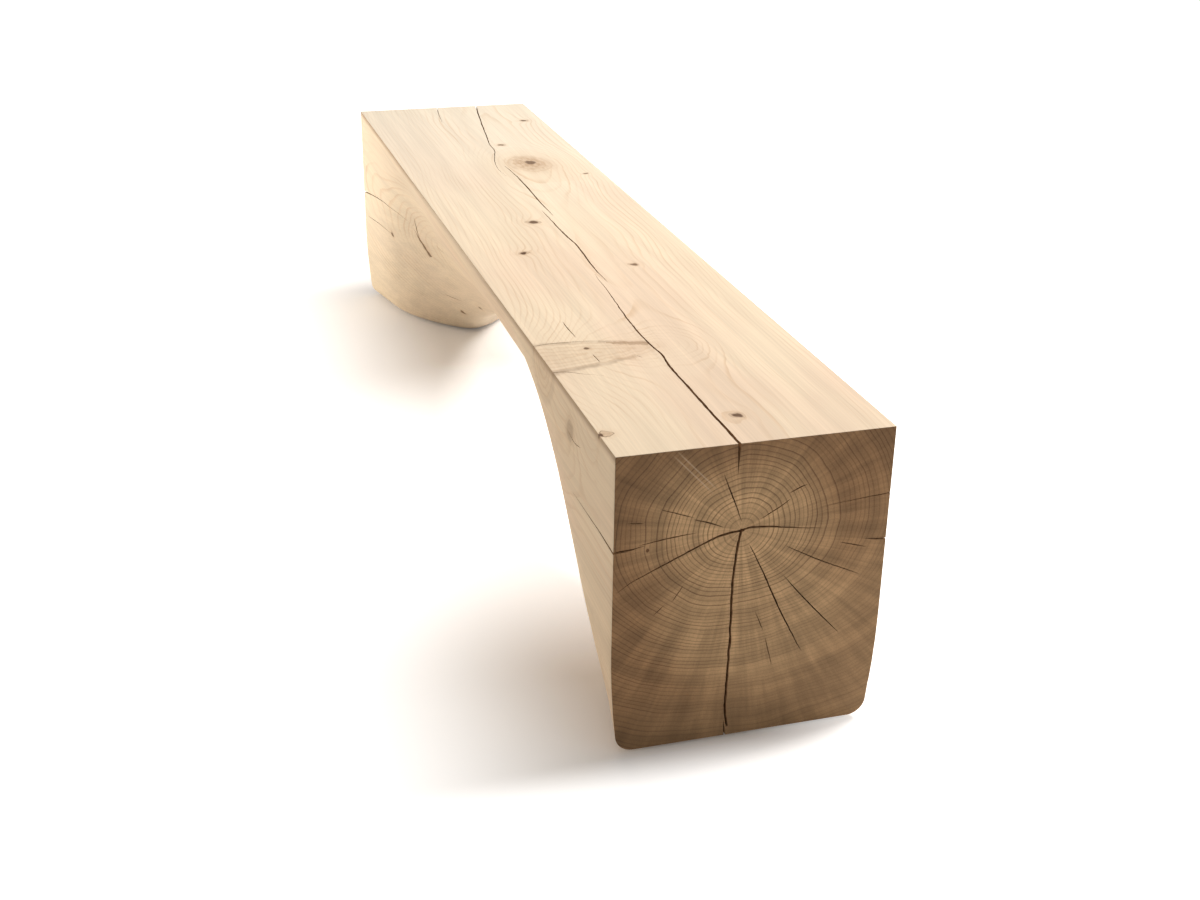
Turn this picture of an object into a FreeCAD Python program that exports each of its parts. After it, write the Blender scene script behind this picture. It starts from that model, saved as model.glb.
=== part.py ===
"""Curved bench carved from one solid beam, standing on press-in felt glides.

Frame: millimetres, +X along the length, +Y across, +Z up, origin on the floor under the middle.
"""
import FreeCAD, Part

import os

import Sketcher

V = FreeCAD.Vector

# Driving sizes in millimetres, except the fullness values and the power, which are plain ratios.
SIZES = {
    "length": 2000,
    "width": 390,
    "seat_height": 450,
    "edge_thickness": 10,
    "side_arch_radius": 765,
    "side_arch_reach": 585,
    "keel_start": 300,
    "keel_rise": 185,
    "keel_power": 2.5,
    "side_fullness_end": 0.6,
    "side_fullness_mid": 0.1,
    "keel_fullness_end": 0.6,
    "keel_fullness_mid": 0.3,
    "fullness_start": 160,
    "fullness_reach": 530,
    "trim_margin": 30,
    "foot_gap": 4,
    "foot_rounding": 26,
    "glide_end_inset": 60,
    "glide_side_offset": 110,
    "cap_diameter": 25,
    "recess_depth": 6,
    "felt_diameter": 22,
    "felt_thickness": 2.5,
    "clearance": 0.05,
}

# Where the carved sections stand, as a share of the way from each end to the middle.
STATIONS = (0.0, 0.16, 0.31, 0.53, 0.75, 1.0)

doc = FreeCAD.newDocument("curved_bench")
sheet = doc.addObject("Spreadsheet::Sheet", "Sizes")
for row, (alias, value) in enumerate(SIZES.items(), start=1):
    sheet.set(f"A{row}", alias.replace("_", " "))
    sheet.set(f"B{row}", str(value))
    sheet.setAlias(f"B{row}", alias)
doc.recompute()


def value(formula):
    """The number that a formula over the sheet gives now, for a first placing of geometry."""
    return float(sheet.evalExpression(formula.replace("Sizes.", "")))


def bind(obj, path, formula):
    obj.setExpression(path, formula)


def origin_plane(body, role):
    return [feature for feature in body.Origin.OriginFeatures if feature.Role == role][0]


def new_sketch(body, name, role, offset_formula):
    """A sketch on one of the body's own planes, shifted along that plane's normal."""
    sketch = body.newObject("Sketcher::SketchObject", name)
    sketch.AttachmentSupport = [(origin_plane(body, role), "")]
    sketch.MapMode = "FlatFace"
    bind(sketch, "AttachmentOffset.Base.z", offset_formula)
    return sketch


def pin_point(sketch, geometry, position, across, up):
    """Hold one point of a sketch at two formulas measured from the sketch's origin."""
    for kind, formula in (("DistanceX", across), ("DistanceY", up)):
        index = sketch.addConstraint(
            Sketcher.Constraint(kind, -1, 1, geometry, position, value(formula)))
        bind(sketch, f"Constraints[{index}]", formula)


def add_line(sketch, start, end):
    points = [V(value(across), value(up), 0) for across, up in (start, end)]
    geometry = sketch.addGeometry(Part.LineSegment(*points), False)
    pin_point(sketch, geometry, 1, *start)
    pin_point(sketch, geometry, 2, *end)


def add_bezier(sketch, poles):
    """A cubic curve whose four control points are held at formulas."""
    curve = Part.BezierCurve()
    curve.setPoles([V(value(across), value(up), 0) for across, up in poles])
    geometry = sketch.addGeometry(curve.toBSpline(), False)
    sketch.exposeInternalGeometry(geometry)
    for number, pole in enumerate(poles, start=1):
        pin_point(sketch, geometry + number, 3, *pole)


def carved_section(body, name, share, side):
    """One cross-section of the beam: flat top, upright edges, hull-shaped underside."""
    reach = f"({share} * Sizes.length / 2)"
    short = f"max(0; Sizes.side_arch_reach - {reach})"
    edge = (f"(Sizes.seat_height - Sizes.edge_thickness - Sizes.side_arch_radius"
            f" + sqrt(Sizes.side_arch_radius ^ 2 - ({short}) ^ 2))")
    slope = f"((Sizes.length / 2 - {reach}) / (Sizes.length / 2 - Sizes.keel_start))"
    keel = f"(Sizes.keel_rise * (1 - {slope} ^ Sizes.keel_power))"
    span = "(Sizes.fullness_reach - Sizes.fullness_start)"
    blend = f"min(1; max(0; ({reach} - Sizes.fullness_start) / {span}))"
    side_full, keel_full = [
        f"(Sizes.{place}_fullness_end * (1 - {blend}) + Sizes.{place}_fullness_mid * {blend})"
        for place in ("side", "keel")]
    shoulder = f"({edge} - {side_full} * ({edge} - {keel}))"
    half = "Sizes.width / 2"
    bulge = f"{keel_full} * {half}"
    top = "Sizes.seat_height + Sizes.trim_margin"
    sketch = new_sketch(body, name, "YZ_Plane", f"{side} * (Sizes.length / 2 - {reach})")
    add_line(sketch, (f"-{half}", top), (half, top))
    add_line(sketch, (half, top), (half, edge))
    add_bezier(sketch, [(half, edge), (half, shoulder), (bulge, keel), ("0", keel)])
    add_bezier(sketch, [("0", keel), (f"-{bulge}", keel), (f"-{half}", shoulder), (f"-{half}", edge)])
    add_line(sketch, (f"-{half}", edge), (f"-{half}", top))
    return sketch


def slab_sketch(body, name, height_formula):
    """A rectangle larger than the beam's plan, for a level cut."""
    sketch = new_sketch(body, name, "XY_Plane", height_formula)
    far = "(Sizes.length / 2 + Sizes.trim_margin)"
    wide = "(Sizes.width / 2 + Sizes.trim_margin)"
    corners = [(f"-{far}", f"-{wide}"), (far, f"-{wide}"), (far, wide), (f"-{far}", wide)]
    for start, end in zip(corners, corners[1:] + corners[:1]):
        add_line(sketch, start, end)
    return sketch


def add_pocket(body, name, sketch, depth_formula, upward):
    pocket = body.newObject("PartDesign::Pocket", name)
    pocket.Profile = sketch
    pocket.Type = "Length"
    pocket.Reversed = upward
    bind(pocket, "Length", depth_formula)
    return pocket


def glide_places():
    """Plan position of each glide: one near each corner of the footprint."""
    for end in (1, -1):
        for side in (-1, 1):
            yield f"{end} * (Sizes.length / 2 - Sizes.glide_end_inset)", f"{side} * Sizes.glide_side_offset"


def circles_sketch(body, name, height_formula, radius_formula):
    sketch = new_sketch(body, name, "XY_Plane", height_formula)
    for along, across in glide_places():
        centre = V(value(along), value(across), 0)
        circle = sketch.addGeometry(Part.Circle(centre, V(0, 0, 1), value(radius_formula)), False)
        pin_point(sketch, circle, 3, along, across)
        index = sketch.addConstraint(Sketcher.Constraint("Radius", circle, value(radius_formula)))
        bind(sketch, f"Constraints[{index}]", radius_formula)
    return sketch


def edges_named(shape, wanted):
    return [f"Edge{number}" for number, edge in enumerate(shape.Edges, start=1) if wanted(edge)]


def make_block():
    body = doc.addObject("PartDesign::Body", "bench_block")
    body.Label = "bench_block"
    placed = [(share, 1) for share in STATIONS] + [(share, -1) for share in STATIONS[-2::-1]]
    sections = [carved_section(body, f"section_{number}", share, side)
                for number, (share, side) in enumerate(placed, start=1)]
    doc.recompute()
    hull = body.newObject("PartDesign::AdditiveLoft", "carved_hull")
    hull.Profile = sections[0]
    hull.Sections = sections[1:]
    hull.Ruled = False
    doc.recompute()
    add_pocket(body, "floor_cut", slab_sketch(body, "floor_outline", "Sizes.foot_gap"),
               "2 * Sizes.seat_height", False)
    doc.recompute()
    seat_cut = add_pocket(body, "seat_cut", slab_sketch(body, "seat_outline", "Sizes.seat_height"),
                          "2 * Sizes.trim_margin", True)
    doc.recompute()
    floor = value("Sizes.foot_gap")

    def around_foot(edge):
        box = edge.BoundBox
        level = box.ZMax - floor < 0.01 and floor - box.ZMin < 0.01
        return level and box.XLength > 1

    rounding = body.newObject("PartDesign::Fillet", "foot_rounding_fillet")
    rounding.Base = (seat_cut, edges_named(seat_cut.Shape, around_foot))
    bind(rounding, "Radius", "Sizes.foot_rounding")
    doc.recompute()

    recess = circles_sketch(body, "recess_circles", "Sizes.foot_gap",
                            "Sizes.cap_diameter / 2 + Sizes.clearance")
    add_pocket(body, "glide_recesses", recess, "Sizes.recess_depth", True)
    doc.recompute()
    return body


def make_disc(name, along, across, base, radius, height):
    disc = doc.addObject("Part::Cylinder", name)
    disc.Label = name
    bind(disc, "Radius", radius)
    bind(disc, "Height", height)
    for axis, formula in zip("xyz", (along, across, base)):
        bind(disc, f"Placement.Base.{axis}", formula)
    return disc


def make_glide(number, along, across):
    """A press-in glide: a round cap seated in its recess and the felt glued under it."""
    cap = make_disc(f"glide_cap_{number}", along, across, "Sizes.felt_thickness",
                    "Sizes.cap_diameter / 2",
                    "Sizes.foot_gap + Sizes.recess_depth - Sizes.felt_thickness")
    felt = make_disc(f"glide_felt_{number}", along, across, "0",
                     "Sizes.felt_diameter / 2", "Sizes.felt_thickness")
    return [cap, felt]


parts = [make_block()]
for number, (along, across) in enumerate(glide_places(), start=1):
    parts += make_glide(number, along, across)
doc.recompute()

for obj in doc.Objects:
    if "Invalid" in obj.State or "Error" in obj.State:
        raise RuntimeError(f"{obj.Label} did not build: {obj.State}")
os.makedirs("parts", exist_ok=True)
for part in parts:
    if part.Shape.isNull() or not part.Shape.isValid():
        raise RuntimeError(f"{part.Label} has no valid shape")
    part.Shape.exportStep(f"parts/{part.Label}.step")
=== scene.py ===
"""Curved bench: a carved timber block with growth rings, knots and drying checks, on felt glides."""
import math
import random
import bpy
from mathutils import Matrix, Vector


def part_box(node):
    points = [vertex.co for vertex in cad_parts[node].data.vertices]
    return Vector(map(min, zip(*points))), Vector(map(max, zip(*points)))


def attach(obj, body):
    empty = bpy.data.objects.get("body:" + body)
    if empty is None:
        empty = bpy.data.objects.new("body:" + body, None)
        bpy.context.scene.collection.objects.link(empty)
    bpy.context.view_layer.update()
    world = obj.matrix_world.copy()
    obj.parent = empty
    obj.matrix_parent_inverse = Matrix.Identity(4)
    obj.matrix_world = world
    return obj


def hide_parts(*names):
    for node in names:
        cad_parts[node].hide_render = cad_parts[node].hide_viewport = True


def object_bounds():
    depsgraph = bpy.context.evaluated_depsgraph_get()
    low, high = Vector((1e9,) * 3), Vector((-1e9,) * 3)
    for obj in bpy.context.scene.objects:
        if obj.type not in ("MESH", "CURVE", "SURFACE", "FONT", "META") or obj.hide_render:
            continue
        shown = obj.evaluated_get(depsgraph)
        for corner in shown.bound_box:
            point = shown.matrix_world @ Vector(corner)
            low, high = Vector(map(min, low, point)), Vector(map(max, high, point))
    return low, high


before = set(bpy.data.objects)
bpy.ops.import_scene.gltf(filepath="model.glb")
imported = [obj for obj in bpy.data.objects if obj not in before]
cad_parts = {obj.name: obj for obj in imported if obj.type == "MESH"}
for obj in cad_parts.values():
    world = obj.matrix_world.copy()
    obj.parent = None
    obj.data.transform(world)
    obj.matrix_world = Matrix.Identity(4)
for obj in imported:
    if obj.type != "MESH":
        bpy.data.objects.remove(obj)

from types import SimpleNamespace

import bmesh
import bpy
from mathutils import Matrix, Vector
from mathutils.bvhtree import BVHTree

CAD_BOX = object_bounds()
LOW, HIGH = CAD_BOX
FAR_END, NEAR_END = LOW.x, HIGH.x
FRONT, BACK = LOW.y, HIGH.y
SEAT = HIGH.z

# Camera fitted to the corners of the block in the photograph.
CAMERA_PLACE = Vector((2.7635, -0.7605, 1.2984))
CAMERA_YAW = math.radians(17.18)
CAMERA_PITCH = math.radians(24.36)
CAMERA_ROLL = math.radians(1.0)
CAMERA_LENS = 48.63
SENSOR_WIDTH = 36.0

# Lamps: name, place, target, width, height, watts, tint.
LAMPS = [
    ("key", (-0.1, 2.5, 3.2), (0.0, 0.0, 0.2), 1.3, 1.3, 129, (1, 1, 1)),
    ("overhead", (-0.6, 0.3, 3.0), (0.0, 0.0, 0.3), 2.0, 1.6, 21, (1, 1, 1)),
    ("fill", (-3.0, -2.8, 0.5), (0.0, -0.2, 0.25), 1.4, 0.9, 59, (1.0, 0.89, 0.73)),
    ("low_fill", (-1.75, -1.35, 0.14), (-0.75, -0.15, 0.15), 0.9, 0.24, 7.5, (1.0, 0.86, 0.66)),
    ("front", (3.6, 1.9, 1.3), (1.0, 0.0, 0.25), 1.6, 1.2, 7, (1, 1, 1)),
]
SURROUND_LIGHT = 0.29

# Half the width of the floor.
FLOOR_REACH = 14.0
# Deep shadow left of each foot: far edge, near edge, left edge, and how many times as fast the floor
# whitens past the near edge. Right of the bench's middle it whitens RIGHT_PACE times as fast.
FOOT_SHADOWS = [(0.80, 1.00, -0.17, 5.0), (-0.95, -0.53, -0.08, 1.0)]
RIGHT_PACE = 1.5
# The floor's glow by distance from those shadows: where its ramp starts and ends, and how strong it gets.
FADE_START, FADE_END, FADE_STRENGTH = -0.10, 0.48, 0.82

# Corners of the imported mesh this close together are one.
WELD = 1e-5
# A face is flat where its normal lies along an axis by this much, and flat faces are one within this angle.
FLAT_NORMAL, SAME_PLANE = 0.99999, 0.01
# Edges sharper than this are eased, above the feet, which have their own rounding.
SHARP_EDGE, FOOT_HEIGHT = math.radians(50), 0.05
EASING, EASING_STEPS = 0.0016, 3
# Smooth shading breaks at edges over these angles, in degrees.
BLOCK_CREASE, FELT_CREASE = 32, 50

# Felt: rounding as a share of the thickness, flat sole as a share of the radius, and wear of the rim.
FELT_ROUNDING, FELT_SOLE, FELT_WEAR = 0.32, 0.55, 0.012
# Corners round a felt disc, and steps over each rounded edge.
FELT_TURNS, FELT_STEPS = 48, 4

# The heart of the log, where it leaves the two end faces (across, up).
PITH_NEAR = (-0.018, 0.324)
PITH_FAR = (0.072, 0.300)
# Growth in one year.
RING_WIDTH = 0.0072
# How far along the log a branch moves on its way out of the heart.
BRANCH_LEAN = 0.03

WHITE = (1, 1, 1, 1)
FLOOR_PAINT = (0.88, 0.845, 0.81, 1)
SURROUND_TINT = (1, 0.96, 0.90, 1)
# Wood cut along its fibres.
CREAM = (0.845, 0.680, 0.490, 1)
PEACH = (0.820, 0.630, 0.460, 1)
HONEY = (0.640, 0.420, 0.235, 1)
FAR_END_PALE = (0.835, 0.735, 0.590, 1)
# Painted shade for the upright strip just below the seat edge.
EDGE_SHADE = (0.330, 0.200, 0.105, 1)
# Wood cut across its fibres.
HEART_WOOD = (0.660, 0.430, 0.232, 1)
OUTER_WOOD = (0.375, 0.216, 0.108, 1)
PALE_WOOD = (0.500, 0.315, 0.168, 1)
LATE_LINE = (0.165, 0.088, 0.042, 1)
SCRATCHED = (0.780, 0.600, 0.420, 1)
# Knots, and the torn wood inside the checks, kept dark partly as painted shade in the recess.
KNOT_BROWN = (0.360, 0.190, 0.085, 1)
KNOT_CORE = (0.095, 0.045, 0.020, 1)
KNOT_BARK = (0.170, 0.085, 0.038, 1)
TORN_AND_SHADE_DARK = (0.270, 0.155, 0.078, 1)
TORN_AND_SHADE_PALE = (0.480, 0.300, 0.165, 1)
# Glides.
PLASTIC_DARK = (0.018, 0.018, 0.019, 1)
PLASTIC_PALE = (0.045, 0.045, 0.047, 1)
FELT_DARK = (0.10, 0.088, 0.078, 1)
FELT_PALE = (0.27, 0.245, 0.22, 1)
FELT_MOTTLE = (0.16, 0.145, 0.13, 1)

# What a branch marks: the last is how far it bends the rings, the others are strengths from 0 to 1.
MARKS = ("Body", "Core", "Rim", "Halo", "Inside", "Rings", "Bend")
# How far from its base a branch ends, in its own lengths, and how many radii off it is beyond its ends.
BRANCH_END, FAR_OFF = 1.2, 6.0
# The cone's width follows the root of the way grown, which counts as this at least.
LEAST_GROWN = 0.04
# Rings from the middle of a branch to its bark.
BRANCH_RINGS = 4.3
# How far the rings bend round a branch, in radii, how quickly that fades, and the least width that bends.
BEND_DEPTH, BEND_FALL, BEND_LEAST = 0.75, 0.42, 0.5

# The two lines of the saw scratch on the near end face (across, up), and how far they lie apart.
SCRATCH_START, SCRATCH_END, SCRATCH_GAP = Vector((-0.118, 0.444)), Vector((-0.055, 0.377)), 0.0073

# Knots: where the branch leaves the wood, its radius there, and how strong its body, core and rim show.
KNOTS = [
    ((-0.826, 0.152, SEAT), 0.009, 0.7, 0.9, 0.3),
    ((-0.611, 0.047, SEAT), 0.009, 0.6, 0.7, 0.2),
    ((-0.339, 0.157, SEAT), 0.006, 0.6, 0.7, 0.2),
    ((-0.028, -0.033, SEAT), 0.012, 0.5, 0.9, 0.5),
    ((0.150, -0.096, SEAT), 0.008, 0.8, 1.0, 0.3),
    ((0.254, 0.069, SEAT), 0.008, 0.6, 0.7, 0.2),
    ((0.622, -0.121, SEAT), 0.005, 0.7, 0.8, 0.3),
    ((0.912, 0.003, SEAT), 0.010, 0.6, 0.9, 0.3),
    ((0.790, FRONT, 0.398), 0.022, 0.35, 0.25, 0.10),
    ((-0.724, -0.178, 0.233), 0.008, 0.6, 0.7, 0.3),
    ((-0.611, -0.044, 0.077), 0.007, 0.6, 0.7, 0.3),
    ((-0.497, -0.031, 0.124), 0.007, 0.6, 0.6, 0.3),
    ((-0.640, BACK, 0.330), 0.018, 0.6, 0.7, 0.4),
    ((0.340, BACK, 0.425), 0.010, 0.6, 0.8, 0.3),
    ((0.820, BACK, 0.220), 0.016, 0.6, 0.7, 0.4),
    ((0.180, 0.040, 0.185), 0.014, 0.6, 0.8, 0.4),
]
# Branches sawn along their length: base, tip, radius, body, core, rim.
SPIKES = [
    ((0.632, 0.012, 0.430), (0.648, -0.215, 0.447), 0.060, 0.20, 0.0, 0.42),
    ((0.606, -0.088, 0.450), (0.6214, -0.035, 0.450), 0.012, 0.50, 0.22, 0.0),
    ((0.668, -0.105, 0.450), (0.673, -0.068, 0.450), 0.011, 0.28, 0.0, 0.0),
    ((-0.600, 0.060, 0.310), (-0.396, 0.069, 0.500), 0.056, 0.62, 0.0, 0.0),
    ((-0.540, 0.062, 0.340), (-0.412, 0.074, 0.500), 0.018, 0.60, 0.80, 0.0),
    ((0.910, -0.178, 0.360), (0.930, -0.184, 0.470), 0.0092, 0.65, 0.0, 1.0),
    ((0.915, -0.186, 0.360), (0.931, -0.1925, 0.470), 0.0050, 0.80, 0.85, 0.0),
    ((-0.578, -0.153, 0.285), (-0.565, -0.128, 0.234), 0.008, 0.6, 0.7, 0.2),
    ((0.960, -0.148, 0.312), (1.005, -0.148, 0.312), 0.004, 0.6, 0.8, 0.0),
]

# Drying checks: how the two ends run out, the greatest width, and the line on the surface.
# On the seat, along and across.
SEAT_CHECKS = [
    ("open", "fine", 0.0032, [(-1.010, 0.081), (-0.848, 0.056), (-0.638, 0.027), (-0.563, 0.021),
                              (-0.487, 0.003), (-0.419, -0.006), (-0.358, -0.003)]),
    ("fine", "fine", 0.0027, [(-0.440, 0.012), (-0.376, 0.016), (-0.260, 0.016), (-0.151, 0.013),
                              (-0.060, 0.014)]),
    ("fine", "fine", 0.0029, [(-0.100, 0.002), (0.046, 0.002), (0.133, 0.005), (0.245, -0.001),
                              (0.335, -0.002)]),
    ("fine", "open", 0.0046, [(0.290, -0.011), (0.418, -0.017), (0.527, -0.026), (0.622, -0.026),
                              (0.672, -0.022), (0.715, -0.026), (0.851, -0.028), (0.987, -0.027),
                              (1.010, -0.026)]),
    ("open", "fine", 0.0018, [(-1.010, -0.013), (-0.915, -0.026), (-0.840, -0.034)]),
    ("fine", "fine", 0.0016, [(0.500, -0.125), (0.537, -0.125), (0.574, -0.124)]),
    ("fine", "fine", 0.0014, [(0.645, -0.120), (0.663, -0.119), (0.681, -0.118)]),
    ("fine", "fine", 0.0013, [(0.665, -0.060), (0.677, -0.053)]),
    ("open", "fine", 0.0017, [(0.595, -0.203), (0.590, -0.174), (0.590, -0.144), (0.592, -0.112),
                              (0.605, -0.070)]),
    ("open", "fine", 0.0015, [(0.702, -0.203), (0.704, -0.176), (0.716, -0.158), (0.731, -0.128)]),
]
# On the near end face, across and up.
NEAR_CHECKS = [
    ("open", "fine", 0.0034, [(-0.014, 0.324), (-0.045, 0.320), (-0.081, 0.306), (-0.120, 0.289),
                              (-0.166, 0.268), (-0.190, 0.253)]),
    ("open", "fine", 0.0032, [(-0.021, 0.322), (-0.008, 0.326), (0.023, 0.3235), (0.050, 0.319),
                              (0.099, 0.311)]),
    ("open", "open", 0.0037, [(-0.018, 0.326), (-0.024, 0.287), (-0.0265, 0.225), (-0.026, 0.169),
                              (-0.027, 0.100), (-0.028, 0.049), (-0.023, 0.018)]),
    ("fine", "open", 0.0032, [(-0.0285, 0.028), (-0.0275, 0.012), (-0.025, -0.004)]),
    ("fine", "fine", 0.0022, [(-0.007, 0.303), (0.009, 0.272), (0.039, 0.206), (0.067, 0.150),
                              (0.082, 0.122)]),
    ("fine", "fine", 0.0018, [(0.047, 0.246), (0.087, 0.198), (0.136, 0.144)]),
    ("fine", "fine", 0.0017, [(0.045, 0.293), (0.099, 0.263), (0.160, 0.233)]),
    ("fine", "fine", 0.0017, [(0.007, 0.336), (0.036, 0.352), (0.050, 0.362)]),
    ("fine", "fine", 0.0020, [(0.047, 0.370), (0.060, 0.376), (0.072, 0.380)]),
    ("fine", "open", 0.0016, [(0.093, 0.344), (0.159, 0.350), (0.203, 0.3535)]),
    ("fine", "open", 0.0028, [(0.163, 0.287), (0.203, 0.282)]),
    ("fine", "fine", 0.0015, [(0.126, 0.287), (0.166, 0.274)]),
    ("open", "fine", 0.0040, [(-0.203, 0.312), (-0.180, 0.315), (-0.153, 0.319)]),
    ("fine", "fine", 0.0018, [(-0.160, 0.320), (-0.112, 0.326), (-0.081, 0.328)]),
    ("fine", "fine", 0.0014, [(-0.133, 0.369), (-0.084, 0.350)]),
    ("fine", "fine", 0.0018, [(-0.086, 0.348), (-0.066, 0.341), (-0.043, 0.331)]),
    ("fine", "fine", 0.0018, [(-0.047, 0.409), (-0.035, 0.380), (-0.018, 0.336)]),
    ("fine", "fine", 0.0012, [(0.026, 0.153), (0.038, 0.108)]),
    ("fine", "fine", 0.0012, [(0.009, 0.196), (0.022, 0.165)]),
    ("fine", "fine", 0.0013, [(-0.096, 0.253), (-0.112, 0.229)]),
    ("fine", "fine", 0.0012, [(-0.122, 0.226), (-0.138, 0.212)]),
    ("fine", "fine", 0.0015, [(-0.177, 0.354), (-0.154, 0.351)]),
]
# On the far end face, across and up.
FAR_CHECKS = [
    ("open", "fine", 0.0034, [(0.074, 0.301), (0.040, 0.292), (-0.050, 0.266), (-0.140, 0.262)]),
    ("open", "fine", 0.0030, [(0.070, 0.300), (0.110, 0.309), (0.165, 0.304)]),
    ("open", "fine", 0.0036, [(0.072, 0.302), (0.066, 0.200), (0.060, 0.090)]),
    ("fine", "fine", 0.0022, [(0.052, 0.275), (0.000, 0.190), (-0.050, 0.110)]),
    ("fine", "fine", 0.0020, [(0.093, 0.282), (0.140, 0.200)]),
    ("fine", "fine", 0.0018, [(0.055, 0.322), (0.000, 0.378)]),
    ("fine", "fine", 0.0018, [(0.092, 0.322), (0.140, 0.388)]),
    ("fine", "open", 0.0022, [(-0.120, 0.250), (-0.203, 0.252)]),
]
# On the long sides, along and up.
FRONT_CHECKS = [
    ("fine", "open", 0.0024, [(0.810, 0.312), (0.880, 0.3135), (0.950, 0.3145), (1.010, 0.313)]),
    ("open", "fine", 0.0028, [(-1.010, 0.255), (-0.974, 0.265), (-0.784, 0.299), (-0.673, 0.306),
                              (-0.590, 0.300)]),
    ("fine", "fine", 0.0030, [(-0.536, 0.325), (-0.556, 0.295), (-0.571, 0.268), (-0.563, 0.248),
                              (-0.569, 0.222)]),
    ("fine", "fine", 0.0012, [(-0.476, 0.277), (-0.448, 0.270)]),
    ("fine", "fine", 0.0014, [(-0.955, 0.212), (-0.814, 0.232), (-0.722, 0.2335)]),
    ("fine", "fine", 0.0014, [(-0.618, 0.119), (-0.562, 0.119)]),
    ("fine", "fine", 0.0012, [(0.782, 0.394), (0.815, 0.390), (0.846, 0.396)]),
]
BACK_CHECKS = [
    ("fine", "open", 0.0022, [(0.870, 0.284), (0.950, 0.287), (1.010, 0.283)]),
    ("open", "fine", 0.0026, [(-1.010, 0.300), (-0.880, 0.304), (-0.720, 0.300)]),
    ("fine", "fine", 0.0018, [(0.250, 0.424), (0.420, 0.420), (0.560, 0.425)]),
]
# On the hollowed underside, along and across.
UNDER_CHECKS = [
    ("fine", "fine", 0.0026, [(-0.480, 0.024), (-0.250, 0.016), (0.050, 0.006), (0.330, -0.006)]),
]

# How far a check gapes at a fine end, as a share of its width, and the power by which it opens from there.
LEAST_GAPE, GAPE_POWER = 0.1, 0.6
# Its irregular course: what a step keeps of the drift before it, and the new drift and the ragged width,
# both as shares of the width.
DRIFT_KEPT, DRIFT_ADDED = 0.7, 0.07
RAGGED_LOW, RAGGED_HIGH = 0.82, 1.12
# Share of the full depth where a check closes, and how far its wedge stands out of the wood.
SHALLOW_END = 0.35
OVERSHOOT = 0.006
# Rays that find the carved surface start this far outside it, and this far in from the ends.
SIDE_CLEARANCE, UNDER_CLEARANCE = 0.2, 0.1
END_INSET = 0.004

DRAW = random.Random(7)


def smooth_path(points, step):
    """Points along a curve through the given points, about one step apart."""
    padded = [points[0] * 2 - points[1]] + points + [points[-1] * 2 - points[-2]]
    path = []
    for before, start, end, after in zip(padded, padded[1:], padded[2:], padded[3:]):
        count = max(2, round((end - start).length / step))
        for number in range(count):
            t = number / count
            pull = (end - before) * t + (2 * before - 5 * start + 4 * end - after) * t ** 2
            path.append(start + (pull + (3 * start - before - 3 * end + after) * t ** 3) / 2)
    path.append(points[-1])
    return path


def new_object(name, data):
    obj = bpy.data.objects.new(name, data)
    bpy.context.scene.collection.objects.link(obj)
    return obj


def object_from(name, mesh):
    """A new object in the scene with the built mesh, which is freed."""
    data = bpy.data.meshes.new(name)
    mesh.to_mesh(data)
    mesh.free()
    return new_object(name, data)


def opening_at(share, start, end):
    """How far a check gapes at a share of its length, from LEAST_GAPE to 1."""
    rise = 1.0 if start == "open" else share
    fall = 1.0 if end == "open" else 1 - share
    # Between two fine ends rise times fall is a quarter at most.
    peak = 4.0 if start == end == "fine" else 1.0
    return max(LEAST_GAPE, (peak * rise * fall) ** GAPE_POWER)


def check_cutter(name, start, end, width, path, inward, depth_ratio):
    """A thin wedge along a path on the surface: what drying takes out of the wood."""
    mesh = bmesh.new()
    rings = []
    last = len(path) - 1
    drift = 0.0
    for number, point in enumerate(path):
        along = (path[min(number + 1, last)] - path[max(number - 1, 0)]).normalized()
        side = along.cross(inward).normalized()
        gape = opening_at(number / last, start, end)
        drift = DRIFT_KEPT * drift + DRAW.gauss(0, width * DRIFT_ADDED)
        deep = width * depth_ratio * (SHALLOW_END + (1 - SHALLOW_END) * gape)
        half = width / 2 * gape * DRAW.uniform(RAGGED_LOW, RAGGED_HIGH) * (deep + OVERSHOOT) / deep
        mouth = point - inward * OVERSHOOT + side * drift
        rings.append([mesh.verts.new(mouth + side * half),
                      mesh.verts.new(mouth - side * half),
                      mesh.verts.new(point + inward * deep + side * drift)])
    for first, second in zip(rings, rings[1:]):
        for corner in range(3):
            following = (corner + 1) % 3
            mesh.faces.new((first[corner], first[following], second[following], second[corner]))
    mesh.faces.new(rings[0])
    mesh.faces.new(rings[-1])
    bmesh.ops.recalc_face_normals(mesh, faces=mesh.faces)
    return object_from(name, mesh)


def is_flat(face):
    """True on the seat, the end faces and the soles of the feet."""
    return max(abs(face.normal.x), abs(face.normal.z)) > FLAT_NORMAL


def eased_block(node):
    """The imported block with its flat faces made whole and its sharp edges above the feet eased."""
    mesh = bmesh.new()
    mesh.from_mesh(node.data)
    bmesh.ops.remove_doubles(mesh, verts=mesh.verts, dist=WELD)
    inner = [edge for edge in mesh.edges
             if len(edge.link_faces) == 2 and all(is_flat(face) for face in edge.link_faces)
             and edge.calc_face_angle(math.pi) < SAME_PLANE]
    bmesh.ops.dissolve_edges(mesh, edges=inner, use_verts=False)
    sharp = [edge for edge in mesh.edges
             if edge.calc_face_angle(0) > SHARP_EDGE
             and min(vertex.co.z for vertex in edge.verts) > LOW.z + FOOT_HEIGHT]
    bmesh.ops.bevel(mesh, geom=sharp, offset=EASING, segments=EASING_STEPS, profile=0.5,
                    affect="EDGES", clamp_overlap=True)
    return object_from("timber_block", mesh)


def side_point(tree, along, up, side):
    """Where the carved side is, looking at it square on from outside."""
    inside = max(FAR_END + END_INSET, min(NEAR_END - END_INSET, along))
    start = Vector((inside, side * (BACK + SIDE_CLEARANCE), up))
    hit = tree.ray_cast(start, Vector((0, -side, 0)))[0]
    return Vector((along, hit.y, up))


def under_point(tree, along, across):
    """Where the hollowed underside is, looking straight up at it."""
    return tree.ray_cast(Vector((along, across, LOW.z - UNDER_CLEARANCE)), Vector((0, 0, 1)))[0]


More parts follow.
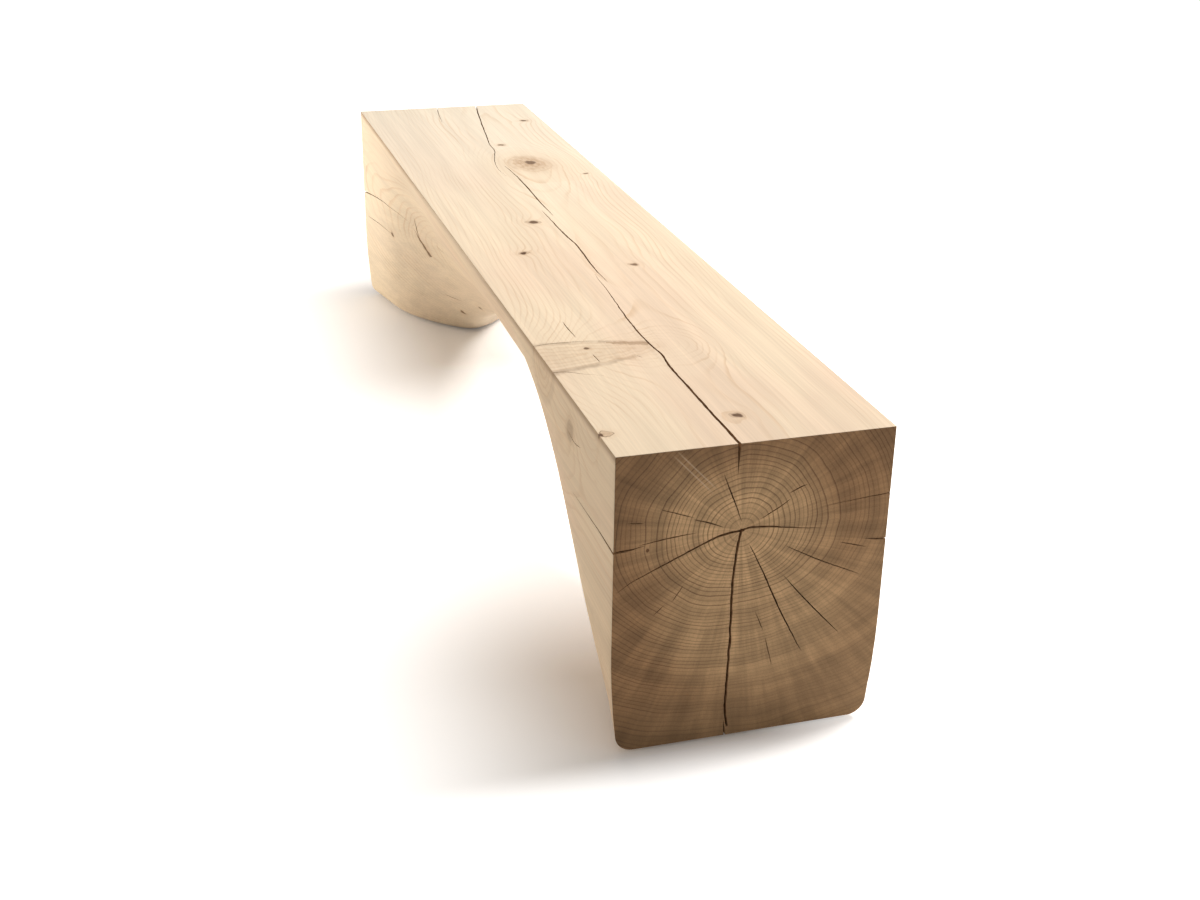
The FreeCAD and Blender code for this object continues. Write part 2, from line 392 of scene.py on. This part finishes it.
def check_cutters(block):
    """Every drying check as a wedge: on the seat, the end faces, the long sides and underneath."""
    tree = BVHTree.FromObject(block, bpy.context.evaluated_depsgraph_get())
    # Place, checks, where a point of theirs lies, the way inward, depth in widths, step along the line.
    groups = [
        ("seat", SEAT_CHECKS, lambda x, y: Vector((x, y, SEAT)), Vector((0, 0, -1)), 10, 0.010),
        ("near", NEAR_CHECKS, lambda y, z: Vector((NEAR_END, y, z)), Vector((-1, 0, 0)), 12, 0.006),
        ("far", FAR_CHECKS, lambda y, z: Vector((FAR_END, y, z)), Vector((1, 0, 0)), 12, 0.008),
        ("front", FRONT_CHECKS, lambda x, z: side_point(tree, x, z, -1), Vector((0, 1, 0)), 10, 0.012),
        ("back", BACK_CHECKS, lambda x, z: side_point(tree, x, z, 1), Vector((0, -1, 0)), 10, 0.012),
        ("under", UNDER_CHECKS, lambda x, y: under_point(tree, x, y), Vector((0, 0, 1)), 10, 0.012),
    ]
    cutters = []
    for place, checks, spot, inward, depth_ratio, step in groups:
        for number, (start, end, width, line) in enumerate(checks):
            path = smooth_path([spot(*point) for point in line], step)
            cutters.append(check_cutter(f"check_{place}_{number}", start, end, width, path,
                                        inward, depth_ratio))
    return cutters


def carve_checks(block, cutters, inside):
    """Cut the wedges out of the block. The new faces take the material of the wedges."""
    tools = bpy.data.collections.new("checks")
    bpy.context.scene.collection.children.link(tools)
    for cutter in cutters:
        bpy.context.scene.collection.objects.unlink(cutter)
        tools.objects.link(cutter)
        cutter.data.materials.append(inside)
    cut = block.modifiers.new("checks", "BOOLEAN")
    cut.operation = "DIFFERENCE"
    cut.solver = "EXACT"
    cut.operand_type = "COLLECTION"
    cut.collection = tools
    cut.material_mode = "TRANSFER"
    evaluated = block.evaluated_get(bpy.context.evaluated_depsgraph_get())
    carved = bpy.data.meshes.new_from_object(evaluated)
    block.modifiers.clear()
    block.data = carved
    for cutter in cutters:
        bpy.data.objects.remove(cutter)
    bpy.data.collections.remove(tools)


def shade_smooth(obj, degrees):
    """Smooth shading, with a hard line at sharp edges and round the flat faces."""
    mesh = bmesh.new()
    mesh.from_mesh(obj.data)
    for face in mesh.faces:
        face.smooth = True
    for edge in mesh.edges:
        flats = sum(is_flat(face) for face in edge.link_faces)
        edge.smooth = flats != 1 and edge.calc_face_angle(math.pi) < math.radians(degrees)
    mesh.to_mesh(obj.data)
    mesh.free()


class Graph:
    """Short names for adding shader nodes to one tree."""

    def __init__(self, tree):
        self.tree = tree

    def add(self, kind, inputs=None, **settings):
        node = self.tree.nodes.new(kind)
        for name, setting in settings.items():
            setattr(node, name, setting)
        for key, source in (inputs or {}).items():
            if isinstance(source, bpy.types.NodeSocket):
                self.tree.links.new(source, node.inputs[key])
            else:
                node.inputs[key].default_value = source
        return node

    def math(self, operation, *sources):
        return self.add("ShaderNodeMath", dict(enumerate(sources)), operation=operation).outputs[0]

    def vector(self, operation, *sources):
        node = self.add("ShaderNodeVectorMath", dict(enumerate(sources)), operation=operation)
        return node.outputs["Value"] if operation in ("DOT_PRODUCT", "LENGTH") else node.outputs[0]

    def scale(self, vector, factor):
        node = self.add("ShaderNodeVectorMath", {0: vector, "Scale": factor}, operation="SCALE")
        return node.outputs[0]

    def combine(self, x, y, z):
        return self.add("ShaderNodeCombineXYZ", {0: x, 1: y, 2: z}).outputs[0]

    def separate(self, vector):
        return self.add("ShaderNodeSeparateXYZ", {0: vector}).outputs

    def place(self):
        return self.add("ShaderNodeTexCoord").outputs["Object"]

    def noise_node(self, vector, stretch, detail, rough):
        scaled = self.vector("MULTIPLY", vector, stretch)
        return self.add("ShaderNodeTexNoise",
                        {"Vector": scaled, "Scale": 1.0, "Detail": detail, "Roughness": rough})

    def noise(self, vector, stretch=(1, 1, 1), detail=2.0, rough=0.5):
        return self.noise_node(vector, stretch, detail, rough).outputs[0]

    def noise_colour(self, vector, stretch, detail=2.0, rough=0.5):
        return self.noise_node(vector, stretch, detail, rough).outputs[1]

    def remap(self, source, low, high, to_low=0.0, to_high=1.0):
        node = self.add("ShaderNodeMapRange", {0: source, 1: low, 2: high, 3: to_low, 4: to_high},
                        interpolation_type="SMOOTHSTEP")
        return node.outputs[0]

    def mix(self, factor, first, second):
        node = self.add("ShaderNodeMix", {0: factor, 6: first, 7: second}, data_type="RGBA")
        return node.outputs[2]

    def shade(self, colour, *factors):
        product = factors[0]
        for factor in factors[1:]:
            product = self.math("MULTIPLY", product, factor)
        return self.scale(colour, product)

    def bump(self, shader, height, strength, distance):
        node = self.add("ShaderNodeBump", {"Strength": strength, "Distance": distance, "Height": height})
        self.feed(shader, "Normal", node.outputs[0])

    def feed(self, node, socket, source):
        self.tree.links.new(source, node.inputs[socket])

    def seen(self):
        """1 for rays from the camera, also by way of gloss or glass, and 0 for rays that carry light."""
        path = self.add("ShaderNodeLightPath").outputs
        indirect = self.math("MAXIMUM", path["Is Glossy Ray"], path["Is Transmission Ray"])
        return self.math("MAXIMUM", path["Is Camera Ray"], indirect)


def empty_graph(owner):
    """The cleared node tree of a material or world."""
    owner.use_nodes = True
    owner.node_tree.nodes.clear()
    return Graph(owner.node_tree)


def principled(name):
    material = bpy.data.materials.new(name)
    g = empty_graph(material)
    shader = g.add("ShaderNodeBsdfPrincipled")
    g.add("ShaderNodeOutputMaterial", {"Surface": shader.outputs[0]})
    return material, g, shader


def branch_bend(g, given, away, travelled, swell):
    """How far one branch pushes the rings aside, less and less away from it."""
    end = g.math("MULTIPLY", given["Reach"], BRANCH_END)
    covered = g.math("MINIMUM", g.math("MAXIMUM", travelled, 0.0), end)
    gap = g.vector("LENGTH", g.vector("SUBTRACT", away, g.scale(given["Direction"], covered)))
    crowd = g.math("MULTIPLY", given["Radius"], g.math("MAXIMUM", swell, BEND_LEAST))
    spread = g.math("POWER", g.math("MULTIPLY", g.math("DIVIDE", gap, crowd), BEND_FALL), 2.0)
    fade = g.math("EXPONENT", g.math("MULTIPLY", spread, -1.0))
    return g.math("MULTIPLY", g.math("MULTIPLY", given["Radius"], BEND_DEPTH), fade)


def branch_group():
    """Node group of one branch: a cone out of the wood, its marks, and how far it bends the rings.

    Each branch joins its own marks to those of the branches before it.
    """
    tree = bpy.data.node_groups.new("branch", "ShaderNodeTree")
    for name in ("Position", "Base", "Direction"):
        tree.interface.new_socket(name, in_out="INPUT", socket_type="NodeSocketVector")
    for name in ("Reach", "Radius", "Body", "Core", "Rim"):
        tree.interface.new_socket(name, in_out="INPUT", socket_type="NodeSocketFloat")
    for name in MARKS:
        tree.interface.new_socket(f"Other {name}", in_out="INPUT", socket_type="NodeSocketFloat")
        tree.interface.new_socket(name, in_out="OUTPUT", socket_type="NodeSocketFloat")
    g = Graph(tree)
    given = g.add("NodeGroupInput").outputs
    away = g.vector("SUBTRACT", given["Position"], given["Base"])
    travelled = g.vector("DOT_PRODUCT", away, given["Direction"])
    length = g.vector("LENGTH", away)
    square = g.math("SUBTRACT", g.math("POWER", length, 2.0), g.math("POWER", travelled, 2.0))
    sideways = g.math("SQRT", g.math("MAXIMUM", square, 0.0))
    grown = g.math("DIVIDE", travelled, given["Reach"])
    swell = g.math("SQRT", g.math("MAXIMUM", g.math("MINIMUM", grown, BRANCH_END), LEAST_GROWN))
    # The distance from the branch's middle line, where 1 is its bark.
    offset = g.math("DIVIDE", sideways, g.math("MULTIPLY", given["Radius"], swell))
    outside = g.math("ADD", g.remap(grown, 0.02, -0.05), g.remap(grown, BRANCH_END - 0.05, BRANCH_END))
    offset = g.math("MULTIPLY_ADD", outside, FAR_OFF, offset)
    body = g.math("MULTIPLY", g.remap(offset, 1.3, 0.3), given["Body"])
    core = g.math("MULTIPLY", g.remap(offset, 0.90, 0.50), given["Core"])
    rim = g.math("MULTIPLY", g.remap(offset, 0.80, 1.0), g.remap(offset, 1.22, 1.02))
    outer = g.remap(grown, 0.2, 0.6, 0.1, 1.0)
    rim = g.math("MULTIPLY", rim, g.math("MULTIPLY", given["Rim"], outer))
    halo = g.math("MULTIPLY", g.remap(offset, 2.8, 0.9), given["Body"])
    inside = g.remap(offset, 1.06, 0.90)
    year = g.math("FRACT", g.math("MULTIPLY", offset, BRANCH_RINGS))
    rings = g.math("MULTIPLY", g.remap(year, 0.45, 0.88), g.remap(year, 1.0, 0.92))
    rings = g.math("MULTIPLY", rings, inside)
    bend = branch_bend(g, given, away, travelled, swell)
    own = dict(zip(MARKS, (body, core, rim, halo, inside, rings, bend)))
    joined = {name: g.math("ADD" if name == "Bend" else "MAXIMUM", given[f"Other {name}"], mark)
              for name, mark in own.items()}
    g.add("NodeGroupOutput", joined)
    return tree


def pith_at(along):
    """The log's heart at a place along the bench."""
    share = (along - FAR_END) / (NEAR_END - FAR_END)
    across = PITH_FAR[0] + (PITH_NEAR[0] - PITH_FAR[0]) * share
    up = PITH_FAR[1] + (PITH_NEAR[1] - PITH_FAR[1]) * share
    return Vector((along, across, up))


def branches():
    """Every branch as base, tip, radius and the strengths of its marks."""
    for tip, radius, *marks in KNOTS:
        lean = BRANCH_LEAN if tip[0] > 0 else -BRANCH_LEAN
        yield pith_at(tip[0] - lean), Vector(tip), radius, marks
    for base, tip, radius, *marks in SPIKES:
        yield Vector(base), Vector(tip), radius, marks


def knot_marks(g, place):
    """The strongest marks of all the branches, and the sum of their bends."""
    group = branch_group()
    wobble = g.vector("SUBTRACT", g.noise_colour(place, (34, 60, 60)), (0.5, 0.5, 0.5))
    uneven = g.vector("ADD", place, g.vector("MULTIPLY", wobble, (0.016, 0.010, 0.010)))
    marks = {}
    for base, tip, radius, (body, core, rim) in branches():
        reach = tip - base
        settings = {"Position": uneven, "Base": base, "Direction": reach.normalized(),
                    "Reach": reach.length, "Radius": radius, "Body": body, "Core": core, "Rim": rim}
        settings.update({f"Other {name}": earlier for name, earlier in marks.items()})
        branch = g.add("ShaderNodeGroup", settings, node_tree=group)
        marks = {output.name: output for output in branch.outputs}
    return marks


def from_heart(g, place):
    """Across and up from the log's drifting heart, with the flatter growth below it."""
    x, y, z = g.separate(place)
    middle = pith_at(0)
    lean = pith_at(1) - middle
    wander = g.math("SUBTRACT", g.noise(place, (0.9, 0, 0), 1.0), 0.5)
    inland = g.math("SUBTRACT", 1.0, g.math("POWER", x, 2.0))
    sway = g.math("MULTIPLY", g.math("MULTIPLY", wander, inland), 0.06)
    across = g.math("SUBTRACT", y, g.math("ADD", g.math("MULTIPLY_ADD", x, lean.y, middle.y), sway))
    up = g.math("SUBTRACT", z, g.math("MULTIPLY_ADD", x, lean.z, middle.z))
    flatter = g.remap(up, 0.03, -0.11, 1.0, 1.22)
    return across, g.math("MULTIPLY", up, flatter)


def saw_scratch(g, x, y, z):
    """Two faint lines that a tool left across a corner of the near end face."""
    course = SCRATCH_END - SCRATCH_START
    along = course.normalized()
    aside = Vector((-along.y, along.x))
    across, up = g.math("SUBTRACT", y, SCRATCH_START.x), g.math("SUBTRACT", z, SCRATCH_START.y)
    run = g.math("MULTIPLY_ADD", across, along.x, g.math("MULTIPLY", up, along.y))
    off = g.math("MULTIPLY_ADD", across, aside.x, g.math("MULTIPLY", up, aside.y))
    from_middle = g.math("ABSOLUTE", g.math("SUBTRACT", off, SCRATCH_GAP / 2))
    gap = g.math("ABSOLUTE", g.math("SUBTRACT", from_middle, SCRATCH_GAP / 2))
    line = g.math("MULTIPLY", g.remap(gap, 0.0014, 0.0004), g.remap(run, -0.005, 0.02))
    line = g.math("MULTIPLY", line, g.remap(run, course.length, course.length - 0.03))
    return g.math("MULTIPLY", line, g.remap(x, NEAR_END - 0.02, NEAR_END - 0.01))


def late_wood(g, age, radius, marks):
    """The dark line that ends each year's ring, stronger in some years and weak at the heart."""
    seasons = g.noise(g.combine(age, 0.0, 0.0), (16, 0, 0), 1.0)
    phase = g.math("ADD", g.math("DIVIDE", age, RING_WIDTH), g.math("MULTIPLY", seasons, 3.0))
    season = g.math("FRACT", phase)
    strength = g.add("ShaderNodeTexWhiteNoise", {"W": g.math("FLOOR", phase)}, noise_dimensions="1D")
    late = g.math("MULTIPLY", g.remap(season, 0.58, 0.92), g.remap(season, 1.0, 0.94))
    late = g.math("MULTIPLY", late, g.math("MULTIPLY_ADD", strength.outputs["Value"], 0.65, 0.35))
    late = g.math("MULTIPLY", late, g.remap(radius, 0.004, 0.045, 0.35, 1.0))
    return g.math("MULTIPLY", late, g.math("SUBTRACT", 1.0, marks["Inside"]))


def wood_patterns(g):
    """The patterns that the wood's colours share, all of them in the block's own space."""
    place = g.place()
    across, up = from_heart(g, place)
    radius = g.vector("LENGTH", g.combine(across, up, 0.0))
    broad = g.math("SUBTRACT", g.noise(place, (1.5, 4.0, 4.0)), 0.5)
    ripple = g.math("SUBTRACT", g.noise(place, (6.0, 22.0, 22.0)), 0.5)
    age = g.math("ADD", g.math("MULTIPLY_ADD", broad, 0.055, radius), g.math("MULTIPLY", ripple, 0.007))
    marks = knot_marks(g, place)
    age = g.math("SUBTRACT", age, marks["Bend"])
    late = late_wood(g, age, radius, marks)
    fibre = g.noise(place, (5, 320, 320), 3.0, 0.6)
    streak = g.noise(place, (1.4, 46, 46))
    cloud = g.noise(place, (2.6, 6, 6), 3.0)
    normal = g.separate(g.add("ShaderNodeNewGeometry").outputs["Normal"])
    endwise, sidewise = g.math("ABSOLUTE", normal[0]), g.math("ABSOLUTE", normal[1])
    x, y, z = g.separate(place)
    return SimpleNamespace(place=place, x=x, y=y, z=z, across=across, up=up, radius=radius, age=age,
                           ripple=ripple, marks=marks, late=late, fibre=fibre, streak=streak,
                           cloud=cloud, endwise=endwise, sidewise=sidewise)


def long_grain(g, wood):
    """Wood cut along its fibres: paler towards the far end, with soft ring lines and painted shade below
    the seat edge.
    """
    colour = g.mix(g.remap(wood.cloud, 0.38, 0.64), CREAM, PEACH)
    # Paler and greyer towards the far end.
    colour = g.mix(g.remap(wood.x, 0.3, -0.95, 0.0, 0.7), colour, FAR_END_PALE)
    patchy = g.noise(wood.place, (2.6, 11, 11))
    lines = g.math("MULTIPLY", wood.late, g.remap(patchy, 0.36, 0.66, 0.12, 0.62))
    lines = g.math("MAXIMUM", lines, g.math("MULTIPLY", wood.marks["Rings"], 0.30))
    colour = g.mix(lines, colour, HONEY)
    # Painted shade: a dark band on the sides just below the seat edge, where that strip lies in shadow.
    arris_shade = g.math("MULTIPLY", g.remap(wood.z, SEAT - 0.014, SEAT - 0.001),
                   g.remap(wood.sidewise, 0.3, 0.8))
    arris_shade = g.math("MULTIPLY", arris_shade, g.remap(wood.streak, 0.30, 0.62, 0.42, 0.82))
    colour = g.mix(arris_shade, colour, EDGE_SHADE)
    return g.shade(colour, g.remap(wood.fibre, 0.25, 0.75, 0.93, 1.03),
                   g.remap(wood.streak, 0.25, 0.75, 0.93, 1.04))


def ray_noise(g, direction, radius, turns, reach, detail, rough):
    """Noise that runs outward from the heart, as the rays in end grain do."""
    spokes = g.vector("MULTIPLY", direction, (turns, turns, 0))
    outward = g.combine(0.0, 0.0, g.math("MULTIPLY", radius, reach))
    return g.noise(g.vector("ADD", spokes, outward), detail=detail, rough=rough)


def cut_grain(g, wood):
    """Wood cut across its fibres: rings and rays round a pale heart, darker outside, with painted shade at
    the foot.
    """
    direction = g.vector("NORMALIZE", g.combine(wood.across, wood.up, 0.0))
    rays = ray_noise(g, direction, wood.radius, 34, 9.0, 3.0, 0.6)
    smears = ray_noise(g, direction, wood.radius, 7, 8.0, 2.0, 0.5)
    pores = g.noise(wood.place, (500, 500, 500))
    ripeness = g.math("MULTIPLY_ADD", g.math("SUBTRACT", wood.cloud, 0.5), 0.16, wood.radius)
    colour = g.mix(g.remap(ripeness, 0.03, 0.16), HEART_WOOD, OUTER_WOOD)
    lower_right = g.remap(g.math("SUBTRACT", wood.across, wood.up), 0.10, 0.36)
    colour = g.mix(g.math("MULTIPLY", lower_right, 0.8), colour, PALE_WOOD)
    # The pale wood of the heart reaches down the middle of the face.
    below_heart = g.combine(g.math("SUBTRACT", wood.across, 0.02), g.math("ADD", wood.up, 0.16), 0.0)
    young = g.remap(g.vector("LENGTH", below_heart), 0.176, 0.070, 0.0, 0.9)
    colour = g.mix(young, colour, HEART_WOOD)
    lines = g.math("MULTIPLY", wood.late, g.math("MULTIPLY_ADD", lower_right, -0.55, 0.85))
    colour = g.mix(lines, colour, LATE_LINE)
    bands = g.noise(g.combine(wood.age, g.math("MULTIPLY", wood.across, 0.08), 0.0), (42, 42, 0), 1.0)
    upper_left = g.math("SUBTRACT", wood.up, wood.across)
    # The factor on height is painted shade, darkening the bottom 10 cm of the face.
    colour = g.shade(colour, g.remap(rays, 0.3, 0.7, 0.90, 1.08), g.remap(smears, 0.3, 0.7, 0.80, 1.12),
                     g.remap(bands, 0.3, 0.7, 0.82, 1.08), g.remap(pores, 0.3, 0.7, 0.93, 1.05),
                     g.remap(wood.z, 0.0, 0.10, 0.80, 1.0), g.remap(upper_left, 0.12, 0.22, 1.0, 0.82))
    scratch = g.math("MULTIPLY", saw_scratch(g, wood.x, wood.y, wood.z), 0.4)
    return g.mix(scratch, colour, SCRATCHED)


def knotted(g, wood, colour):
    """The colour with the knots on it: a warm halo, a mottled body, a bark rim and a dark core."""
    colour = g.mix(g.math("MULTIPLY", wood.marks["Halo"], 0.28), colour, HONEY)
    mottle = g.noise(wood.place, (45, 120, 120))
    body = g.math("MULTIPLY", wood.marks["Body"], g.remap(mottle, 0.35, 0.65, 0.55, 1.0))
    colour = g.mix(body, colour, KNOT_BROWN)
    rim = g.math("MULTIPLY", wood.marks["Rim"], g.remap(wood.ripple, -0.12, 0.05, 0.45, 1.0))
    rim = g.math("MULTIPLY", rim, g.remap(wood.sidewise, 0.5, 0.9, 1.0, 0.3))
    colour = g.mix(rim, colour, KNOT_BARK)
    return g.mix(wood.marks["Core"], colour, KNOT_CORE)


def timber_material():
    """Solid wood: rings round the heart, fibres along it, knots on branches and darker end grain."""
    material, g, shader = principled("timber")
    wood = wood_patterns(g)
    end_grain = g.remap(wood.endwise, 0.55, 0.95)
    colour = g.mix(end_grain, long_grain(g, wood), cut_grain(g, wood))
    g.feed(shader, "Base Color", knotted(g, wood, colour))
    g.feed(shader, "Roughness", g.math("MULTIPLY_ADD", wood.late, -0.10, 0.64))
    shader.inputs["Specular IOR Level"].default_value = 0.15
    g.bump(shader, wood.fibre, 0.25, 0.0003)
    return material


def check_material():
    """The torn wood inside a drying check, rough and brown, darker than the seat partly as painted shade.
    """
    material, g, shader = principled("check_inside")
    torn = g.noise(g.place(), (24, 160, 160), 3.0, 0.6)
    g.feed(shader, "Base Color", g.mix(g.remap(torn, 0.3, 0.7), TORN_AND_SHADE_DARK, TORN_AND_SHADE_PALE))
    shader.inputs["Roughness"].default_value = 0.9
    shader.inputs["Specular IOR Level"].default_value = 0.1
    return material


def plastic_material():
    """Moulded black plastic with a fine spark-eroded grain."""
    material, g, shader = principled("glide_plastic")
    grain = g.noise(g.place(), (1400, 1400, 1400))
    g.feed(shader, "Base Color", g.mix(grain, PLASTIC_DARK, PLASTIC_PALE))
    g.feed(shader, "Roughness", g.remap(grain, 0.3, 0.7, 0.42, 0.62))
    g.bump(shader, grain, 0.3, 0.0001)
    return material


def felt_material():
    """Pressed wool felt, mottled and matt."""
    material, g, shader = principled("felt")
    place = g.place()
    hair = g.noise(place, (900, 900, 900), 4.0, 0.7)
    mottle = g.noise(place, (160, 160, 160))
    colour = g.mix(g.remap(hair, 0.3, 0.7), FELT_DARK, FELT_PALE)
    g.feed(shader, "Base Color", g.mix(g.math("MULTIPLY", mottle, 0.4), colour, FELT_MOTTLE))
    shader.inputs["Roughness"].default_value = 0.95
    shader.inputs["Sheen Weight"].default_value = 0.3
    g.bump(shader, hair, 0.6, 0.0003)
    return material


def felt_disc(name, low, high):
    """A disc that fills the given box, with rounded and slightly uneven edges."""
    centre = (low + high) / 2
    radius = (high.x - low.x) / 2
    edge = (high.z - low.z) * FELT_ROUNDING
    inner = radius - edge
    quarter = [math.pi / 2 * step / FELT_STEPS for step in range(FELT_STEPS + 1)]
    profile = [(0.0, low.z), (radius * FELT_SOLE, low.z)]
    profile += [(inner + edge * math.sin(a), low.z + edge - edge * math.cos(a)) for a in quarter]
    profile += [(inner + edge * math.cos(a), high.z - edge + edge * math.sin(a)) for a in quarter]
    profile.append((0.0, high.z))
    mesh = bmesh.new()
    rows = []
    for reach, height in profile:
        row = []
        for turn in range(FELT_TURNS if reach else 1):
            angle = 2 * math.pi * turn / FELT_TURNS
            worn = reach * (1 - FELT_WEAR * DRAW.random())
            place = (centre.x + worn * math.cos(angle), centre.y + worn * math.sin(angle), height)
            row.append(mesh.verts.new(place))
        rows.append(row)
    for first, second in zip(rows, rows[1:]):
        for turn in range(FELT_TURNS):
            corners = [first[turn % len(first)], first[(turn + 1) % len(first)],
                       second[(turn + 1) % len(second)], second[turn % len(second)]]
            mesh.faces.new(list(dict.fromkeys(corners)))
    bmesh.ops.recalc_face_normals(mesh, faces=mesh.faces)
    return object_from(name, mesh)


def felt_pad(node, material):
    """A felt disc with soft worn edges, in the place of its plain solid."""
    low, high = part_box(node)
    pad = felt_disc(node.replace("glide_felt", "felt_pad"), low, high)
    pad.data.materials.append(material)
    shade_smooth(pad, FELT_CREASE)
    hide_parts(node)
    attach(pad, "root")


def outside_shadow(g, x, y, far_edge, near_edge, left_edge, near_pace):
    """How far a place on the floor is from the deep shadow of one foot, which lies to its left."""
    inward = g.math("SUBTRACT", far_edge, x)
    outward = g.math("MULTIPLY", g.math("SUBTRACT", x, near_edge), near_pace)
    along = g.math("MAXIMUM", 0.0, g.math("MAXIMUM", inward, outward))
    left = g.math("SUBTRACT", left_edge, y)
    right = g.math("MULTIPLY", y, RIGHT_PACE)
    across = g.math("MAXIMUM", 0.0, g.math("MAXIMUM", left, right))
    return g.vector("LENGTH", g.combine(along, across, 0.0))


def floor_material():
    """Pale paint that glows white to the eye outside the foot shadows, and is clear from below."""
    material = bpy.data.materials.new("floor")
    g = empty_graph(material)
    x, y = g.separate(g.place())[:2]
    distance = g.math("MINIMUM", *[outside_shadow(g, x, y, *box) for box in FOOT_SHADOWS])
    fade = g.remap(distance, FADE_START, FADE_END, 0.0, FADE_STRENGTH)
    paint = g.add("ShaderNodeBsdfDiffuse", {"Color": FLOOR_PAINT})
    glow = g.add("ShaderNodeEmission", {"Color": WHITE, "Strength": g.math("MULTIPLY", g.seen(), fade)})
    both = g.add("ShaderNodeAddShader", {0: paint.outputs[0], 1: glow.outputs[0]})
    below = g.add("ShaderNodeNewGeometry").outputs["Backfacing"]
    clear = g.add("ShaderNodeBsdfTransparent")
    sided = g.add("ShaderNodeMixShader", {0: below, 1: both.outputs[0], 2: clear.outputs[0]})
    g.add("ShaderNodeOutputMaterial", {"Surface": sided.outputs[0]})
    return material


def make_floor():
    """Pale studio floor that fades to white away from the bench and keeps the soft shadows."""
    mesh = bmesh.new()
    bmesh.ops.create_grid(mesh, x_segments=1, y_segments=1, size=FLOOR_REACH)
    floor = object_from("floor", mesh)
    floor.data.materials.append(floor_material())


def area_light(name, place, target, width, height, watts, tint):
    lamp = bpy.data.lights.new(name, "AREA")
    lamp.shape = "RECTANGLE"
    lamp.size = width
    lamp.size_y = height
    lamp.energy = watts
    lamp.color = tint
    obj = new_object(name, lamp)
    obj.location = place
    obj.rotation_euler = (Vector(target) - Vector(place)).to_track_quat("-Z", "Y").to_euler()


def make_light():
    """A soft key from the right, a weak box overhead, fills from far left and front, a pale surround."""
    for lamp in LAMPS:
        area_light(*lamp)
    world = bpy.data.worlds.new("surround")
    bpy.context.scene.world = world
    g = empty_graph(world)
    lit = g.add("ShaderNodeBackground", {"Color": SURROUND_TINT, "Strength": SURROUND_LIGHT})
    shown = g.add("ShaderNodeBackground", {"Color": WHITE, "Strength": 1.0})
    mixed = g.add("ShaderNodeMixShader", {0: g.seen(), 1: lit.outputs[0], 2: shown.outputs[0]})
    g.add("ShaderNodeOutputWorld", {"Surface": mixed.outputs[0]})


def make_camera():
    forward = Vector((-math.cos(CAMERA_YAW) * math.cos(CAMERA_PITCH),
                      math.sin(CAMERA_YAW) * math.cos(CAMERA_PITCH), -math.sin(CAMERA_PITCH)))
    level = Vector((math.sin(CAMERA_YAW), math.cos(CAMERA_YAW), 0))
    above = level.cross(forward)
    right = level * math.cos(CAMERA_ROLL) + above * math.sin(CAMERA_ROLL)
    upward = above * math.cos(CAMERA_ROLL) - level * math.sin(CAMERA_ROLL)
    lens = bpy.data.cameras.new("camera")
    lens.sensor_fit = "HORIZONTAL"
    lens.sensor_width = SENSOR_WIDTH
    lens.lens = CAMERA_LENS
    camera = new_object("camera", lens)
    turn = Matrix((right, upward, -forward)).transposed().to_4x4()
    camera.matrix_world = Matrix.Translation(CAMERA_PLACE) @ turn
    bpy.context.scene.camera = camera


def make_block():
    node = "bench_block"
    block = eased_block(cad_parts[node])
    block.data.materials.clear()
    block.data.materials.append(timber_material())
    carve_checks(block, check_cutters(block), check_material())
    shade_smooth(block, BLOCK_CREASE)
    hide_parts(node)
    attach(block, "root")


make_block()
plastic = plastic_material()
felt = felt_material()
for name, node in sorted(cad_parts.items()):
    if name.startswith("glide_cap"):
        node.data.materials.clear()
        node.data.materials.append(plastic)
    if name.startswith("glide_felt"):
        felt_pad(name, felt)
make_floor()
make_light()
make_camera()
bpy.context.scene.view_settings.view_transform = "Standard"
